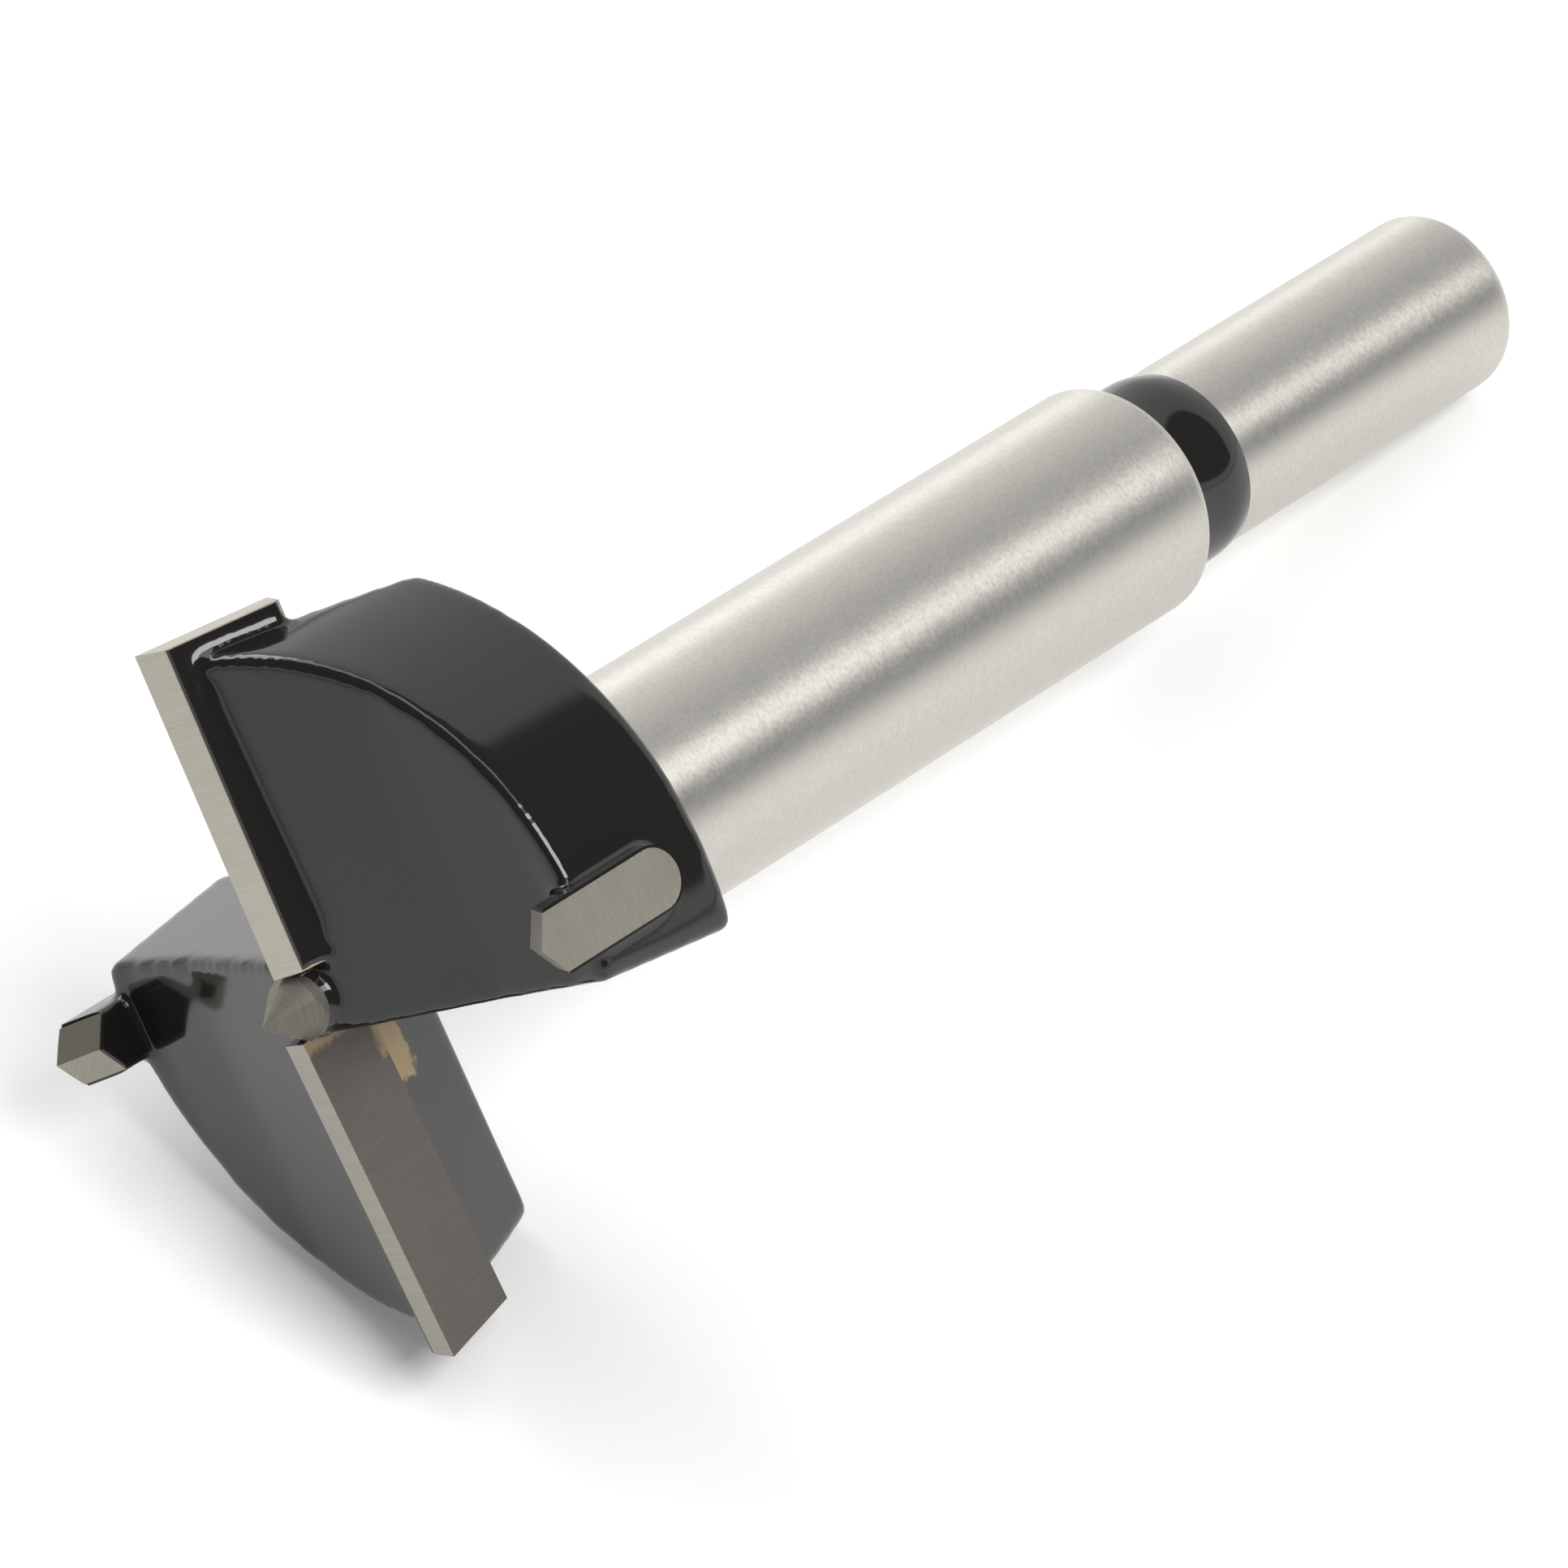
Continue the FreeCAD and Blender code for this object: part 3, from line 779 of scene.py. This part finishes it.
def ease_wings(head, body, passes):
    """Smooth the slopes on the top of each wing, away from its edges and its spur."""
    wall, sweep = 2.1, math.tan(body.runout_sweep)
    # Millimetres that stay as they are at each edge, and over which the easing sets in
    rim_gap, wall_gap, spur_gap, plate_gap, fade = 0.9, 0.8, 3.2, 3.2, 1.5
    low, high, level = -4.0, -1.0, 0.8
    radius = body.head_radius / MM
    group = head.vertex_groups.new(name="slopes")
    for vertex in head.data.vertices:
        corner = vertex.co / MM
        if corner.y > 0:
            corner = Vector((-corner.x, -corner.y, corner.z))
        lean = corner.x + wall - corner.y * sweep
        spur = math.hypot(corner.x, corner.y + radius)
        margin = min(radius - corner.xy.length - rim_gap, lean - wall_gap,
                     spur - spur_gap, -corner.y - plate_gap)
        if low < corner.z < high and margin > 0 and vertex.normal.z > level:
            group.add([vertex.index], min(1.0, margin / fade), "REPLACE")
    finish_modifier(head, "SMOOTH", factor=0.5, iterations=passes, vertex_group="slopes")


def soften_webs(head, body, passes):
    """Let the enamel sag into a soft web where the back of each plate meets its wing."""
    # Millimetres: the crease from the axis, the half width of the web and its two ends
    crease, reach = 2.8, 1.15
    inner, outer = 2.2, body.head_radius / MM - 1.0
    low, high = -3.6, -0.3
    group = head.vertex_groups.new(name="webs")
    for vertex in head.data.vertices:
        corner = vertex.co / MM
        if corner.x < 0:
            corner = Vector((-corner.x, -corner.y, corner.z))
        away = abs(corner.y + crease)
        margin = min(corner.x - inner, outer - corner.x)
        if margin > 0 and away < reach and low < corner.z < high:
            group.add([vertex.index], (1.0 - away / reach) * min(1.0, margin), "REPLACE")
    finish_modifier(head, "SMOOTH", factor=0.5, iterations=passes, vertex_group="webs")


def round_rim(head, radius):
    """Bring the facets of the rim out to its true radius."""
    slack = 0.06 * MM
    for vertex in head.data.vertices:
        reach = vertex.co.xy.length
        if abs(reach - radius) < slack:
            vertex.co.x *= radius / reach
            vertex.co.y *= radius / reach


class BIT_OT_enamelled_head(Operator):
    """Coat the head and its unground carbide in thick enamel, then grind the carbide bare"""

    bl_idname = "bit.enamelled_head"
    bl_label = "Enamelled Head"

    def execute(self, context):
        body = context.scene.bit_sizes
        enamel = context.scene.bit_enamel
        matrix = bit_matrix()
        head = copy_of(BODY_NODE, "enamelled_head", matrix)
        cut_away(head, (0, 0, -body.head_depth - enamel.collar), (0, 0, -1))
        cut_away(head, (0, 0, -body.point_land / 2), (0, 0, 1))
        parts = [head]
        for wing, share in enumerate(wing_frames()):
            plate = unground_plate(wing, matrix @ share, enamel, body.rake)
            spur = unground_spur(wing, matrix @ share, enamel)
            for piece in (plate, spur):
                place(piece, share)
                parts.append(piece)
        join(parts)
        target = copy_piece(head, "coat_target")
        finish_modifier(head, "REMESH", mode="VOXEL", voxel_size=enamel.voxel)
        finish_modifier(head, "SHRINKWRAP", target=target, wrap_method="NEAREST_SURFACEPOINT")
        bpy.data.objects.remove(target)
        round_rim(head, body.head_radius)
        finish_modifier(head, "SMOOTH", factor=0.5, iterations=enamel.rounding)
        ease_wings(head, body, enamel.easing)
        soften_webs(head, body, enamel.sagging)
        finish_modifier(head, "DISPLACE", strength=enamel.coat, mid_level=0.0)
        grind(head, rim_wheel(body, enamel))
        for share in wing_frames():
            for wheel in (strip_wheel, end_wheel, spur_wheel):
                cutter = wheel(body, enamel)
                place(cutter, share)
                grind(head, cutter)
        place(head, matrix)
        smooth(head, ENAMEL_EDGE)
        paint(head, enamel_finish(context.scene.bit_colours, matrix))
        settle(head)
        return {"FINISHED"}


def runout_cutter(body, depth):
    """Hollow that the cutter of a gullet leaves in the shaft, deeper by a little."""
    tilt = body.runout_tilt
    radius = body.runout_radius
    wall = body.runout_wall + depth
    centre = (-wall - radius * math.cos(tilt), -body.head_depth + radius * math.sin(tilt))
    above = 3 * MM
    top = -body.head_depth + above
    lean = math.tan(tilt) * above
    outline = [(centre[0], 0, top), (centre[0], 0, centre[1] - radius)]
    steps = 48
    for index in range(1, steps + 1):
        turn = math.radians(-90) + (math.radians(90) - tilt) * index / steps
        outline.append((centre[0] + radius * math.cos(turn), 0,
                        centre[1] + radius * math.sin(turn)))
    outline.append((-wall + lean, 0, top))
    reach = 8 * MM
    shear = reach * math.tan(body.runout_sweep)
    return prism("runout_cutter", outline, (-shear, -reach, 0), (shear, reach, 0))


def shaft_profile(body, start):
    """Profile of the shaft and the shank, from the head to the rear end."""
    shaft_bend = -body.shaft_end + body.shaft_round
    shank_bend = -body.shank_end + body.shank_round
    profile = [(0.0, start), (body.shaft_radius, start)]
    profile += straight(body.shaft_radius, start, shaft_bend)
    profile += rounding(body.shaft_radius - body.shaft_round, shaft_bend,
                        body.shaft_round, 0, -90)
    profile.append((body.shank_radius, -body.shaft_end))
    profile += straight(body.shank_radius, -body.shaft_end, shank_bend)
    profile += rounding(body.shank_radius - body.shank_round, shank_bend,
                        body.shank_round, 0, -90)
    profile.append((0.0, -body.shank_end))
    return profile


class BIT_OT_ground_shaft(Operator):
    """Turn the shaft and the shank, and cut the run-outs of the gullets into the shaft"""

    bl_idname = "bit.ground_shaft"
    bl_label = "Ground Shaft"

    def execute(self, context):
        body = context.scene.bit_sizes
        matrix = bit_matrix()
        gap = 0.3 * MM
        profile = shaft_profile(body, -(body.head_depth + gap))
        shaft = turned("ground_shaft", profile, body.turned_steps, Matrix())
        for share in wing_frames():
            cutter = runout_cutter(body, 0.0)
            place(cutter, share)
            grind(shaft, cutter)
        smooth(shaft, TURNED_EDGE)
        place(shaft, matrix)
        paint(shaft, steel_finish(context.scene.bit_colours, turn_into_bit(matrix)))
        settle(shaft)
        return {"FINISHED"}


class BIT_OT_enamelled_runouts(Operator):
    """Coat the hollows behind the head, which cylindrical grinding doesn't reach"""

    bl_idname = "bit.enamelled_runouts"
    bl_label = "Enamelled Run-outs"

    def execute(self, context):
        body = context.scene.bit_sizes
        coat = context.scene.bit_enamel.coat
        matrix = bit_matrix()
        sunk, inside, behind = 0.02 * MM, 1.0 * MM, 9.0 * MM
        radius = body.shaft_radius - sunk
        start = -(body.head_depth - inside)
        end = -(body.head_depth + behind)
        profile = [(0.0, start), (radius, start), (radius, end), (0.0, end)]
        core = turned("enamelled_runouts", profile, body.turned_steps, Matrix())
        for share in wing_frames():
            cutter = runout_cutter(body, coat)
            place(cutter, share)
            grind(core, cutter)
        smooth(core, TURNED_EDGE)
        place(core, matrix)
        paint(core, bpy.data.materials["gloss_enamel"])
        settle(core)
        return {"FINISHED"}


class BIT_OT_neck_band(Operator):
    """Lay the enamelled band round the front of the shank, pooled against the shaft"""

    bl_idname = "bit.neck_band"
    bl_label = "Neck Band"

    def execute(self, context):
        body = context.scene.bit_sizes
        # The film itself, the pool against the shaft and the bead behind it
        coat, pool, bead = 0.05 * MM, 0.5 * MM, 0.16 * MM
        radius = body.shank_radius
        front = -body.shaft_end
        start = front - pool
        profile = [(radius - coat, front), (radius + coat + pool, front)]
        profile += rounding(radius + coat + pool, start, pool, 90, 180)
        steps, lag, taper = 20, 1.6, 6
        for index in range(1, steps + 1):
            share = index / steps
            swell = bead * math.sin(math.pi * share ** lag) + coat * (1 - share ** taper)
            profile.append((radius + swell, start - share * (start + body.band_end)))
        profile.append((radius - coat, -body.band_end))
        profile.append(profile[0])
        matrix = bit_matrix()
        band = turned("neck_band", profile, body.turned_steps, matrix)
        paint(band, bpy.data.materials["gloss_enamel"])
        settle(band)
        return {"FINISHED"}


def point_wheel(body):
    """Space that grinding leaves beside one flat of the centre point."""
    apex = body.point_rise + 0.02 * MM
    foot = -2.0 * MM
    reach = 5.0 * MM
    lean = math.tan(body.point_flat) * (apex - foot)
    outline = [(0, 0, apex), (lean, 0, foot), (reach, 0, foot), (reach, 0, apex)]
    return prism("point_wheel", outline, (0, -reach, 0), (0, reach, 0))


class BIT_OT_centre_point(Operator):
    """Grind the bare centre point"""

    bl_idname = "bit.centre_point"
    bl_label = "Centre Point"

    def execute(self, context):
        body = context.scene.bit_sizes
        steps, blunt = 64, 0.06 * MM
        foot = -body.point_land * 2
        profile = [(0.0, foot), (body.point_radius, foot), (body.point_radius, 0.0),
                   (blunt, body.point_rise - blunt), (0.0, body.point_rise)]
        matrix = bit_matrix()
        point = turned("centre_point", profile, steps, Matrix())
        for share in wing_frames():
            for way in POINT_FLATS:
                wheel = point_wheel(body)
                place(wheel, share @ Matrix.Rotation(math.radians(way), 4, "Z"))
                grind(point, wheel)
        smooth(point, POINT_EDGE)
        place(point, matrix)
        tone = scaled(context.scene.bit_colours.carbide, POINT_TONE)
        paint(point, carbide_finish("ground_point", matrix, tone, tone, POINT_LINES, blur=0.30))
        settle(point)
        return {"FINISHED"}


class BIT_OT_carbide(Operator):
    """Finish the carbide plates and spurs"""

    bl_idname = "bit.carbide"
    bl_label = "Carbide"

    def execute(self, context):
        matrix = bit_matrix()
        colours = context.scene.bit_colours
        last, elsewhere = [scaled(colours.carbide, share) for share in SPUR_TONES]
        spur = carbide_finish("ground_spur", matrix, last, elsewhere, SPUR_LINES, blur=0.12)
        # Painted light: each plate's ground faces are made lighter or darker by their own tone,
        # standing in for how the lamps fall on that plate
        for name, share in zip(PLATES, PLATE_PAINTED_LIGHT):
            fresh = scaled(colours.carbide, share)
            plate = carbide_finish(name + "_ground", matrix, fresh, colours.carbide_warm,
                                   PLATE_LINES, braze=colours.braze)
            paint(frame["nodes"][name], plate)
        for name in SPURS:
            paint(frame["nodes"][name], spur)
        return {"FINISHED"}


def add_camera(studio):
    """Camera that looks down on the bit from in front of its tip."""
    aim = Vector(studio.aim)
    flat = math.cos(studio.height)
    turn = studio.turn
    away = Vector((math.sin(turn) * flat, -math.cos(turn) * flat, math.sin(studio.height)))
    camera = bpy.data.cameras.new("camera")
    camera.lens = studio.lens
    camera.sensor_width = 36.0
    camera.clip_start = 0.01
    holder = bpy.data.objects.new("camera", camera)
    bpy.context.scene.collection.objects.link(holder)
    rotation = (-away).to_track_quat("-Z", "Y").to_matrix().to_4x4()
    holder.matrix_world = (Matrix.Translation(aim + away * studio.distance) @ rotation
                           @ Matrix.Rotation(studio.roll, 4, "Z"))
    bpy.context.scene.camera = holder


def add_lamp(name, way, distance, sides, radiance):
    """Softbox that faces the bit from a direction, with the brightness of its face."""
    lamp = bpy.data.lights.new(name, "AREA")
    lamp.shape = "RECTANGLE"
    lamp.size, lamp.size_y = sides
    lamp.energy = radiance * math.pi * sides[0] * sides[1]
    holder = bpy.data.objects.new(name, lamp)
    holder.visible_camera = False
    bpy.context.scene.collection.objects.link(holder)
    holder.location = Vector(way).normalized() * distance
    holder.rotation_euler = Vector(way).to_track_quat("Z", "Y").to_euler()


class BIT_OT_studio(Operator):
    """Set the floor, the lamps, the world and the camera"""

    bl_idname = "bit.studio"
    bl_label = "Studio"

    def execute(self, context):
        studio = context.scene.bit_studio
        deselect()
        bpy.ops.mesh.primitive_plane_add(size=6.0, location=(0, 0, 0))
        floor = context.object
        floor.name = "floor"
        paint(floor, floor_finish())
        studio_world()
        add_camera(studio)
        for name, values in SOFTBOXES.items():
            add_lamp(name, *values)
        context.scene.view_settings.view_transform = "Standard"
        return {"FINISHED"}


class BIT_PT_panel(Panel):
    """Buttons for each group of pieces"""

    bl_label = "Forstner Bit"
    bl_idname = "BIT_PT_panel"
    bl_space_type = "VIEW_3D"
    bl_region_type = "UI"
    bl_category = "Forstner Bit"

    def draw(self, context):
        for operator in OPERATORS:
            self.layout.operator(operator.bl_idname)


OPERATORS = (BIT_OT_studio, BIT_OT_enamelled_head, BIT_OT_ground_shaft,
             BIT_OT_enamelled_runouts, BIT_OT_neck_band, BIT_OT_centre_point, BIT_OT_carbide)
GROUPS = {"bit_sizes": BitSizes, "bit_enamel": EnamelSizes, "bit_colours": BitColours,
          "bit_studio": StudioSettings}


def register():
    for group in GROUPS.values():
        bpy.utils.register_class(group)
    for operator in OPERATORS:
        bpy.utils.register_class(operator)
    bpy.utils.register_class(BIT_PT_panel)
    for name, group in GROUPS.items():
        setattr(bpy.types.Scene, name, PointerProperty(type=group))


def unregister():
    for name in GROUPS:
        delattr(bpy.types.Scene, name)
    bpy.utils.unregister_class(BIT_PT_panel)
    for operator in reversed(OPERATORS):
        bpy.utils.unregister_class(operator)
    for group in reversed(list(GROUPS.values())):
        bpy.utils.unregister_class(group)


def main():
    """Build every piece in order."""
    register()
    bpy.ops.bit.studio()
    bpy.ops.bit.enamelled_head()
    bpy.ops.bit.ground_shaft()
    bpy.ops.bit.enamelled_runouts()
    bpy.ops.bit.neck_band()
    bpy.ops.bit.centre_point()
    bpy.ops.bit.carbide()


if __name__ == "__main__":
    main()
